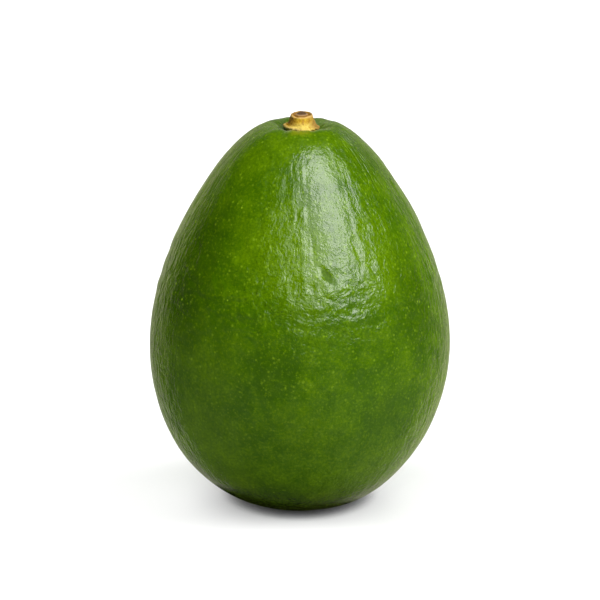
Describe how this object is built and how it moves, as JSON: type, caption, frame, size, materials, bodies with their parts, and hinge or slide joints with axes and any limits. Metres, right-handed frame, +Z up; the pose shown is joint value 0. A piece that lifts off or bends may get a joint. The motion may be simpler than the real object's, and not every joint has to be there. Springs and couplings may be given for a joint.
{
  "type": "avocado",
  "caption": "Whole green smooth-skinned avocado with a corky stalk stub in the well at its top, standing upright on a small flat base.",
  "frame": {"origin": "centre of the small flat at the fruit's blossom end, on the surface that it stands on", "axes": "+Z up along the fruit's core towards the stalk, +X along its slightly wider side, -Y towards the side that is seen from the front"},
  "size_m": [0.09, 0.0886, 0.1187],
  "materials": {
    "skin": "waxy green fruit skin, satin to glossy, finely pitted, with small pale flecks",
    "stalk": "dry golden cork with a brown cut end, matte"
  },
  "bodies": {
    "root": {"fruit": "skin", "stem_stub": "stalk"}
  },
  "joints": []
}
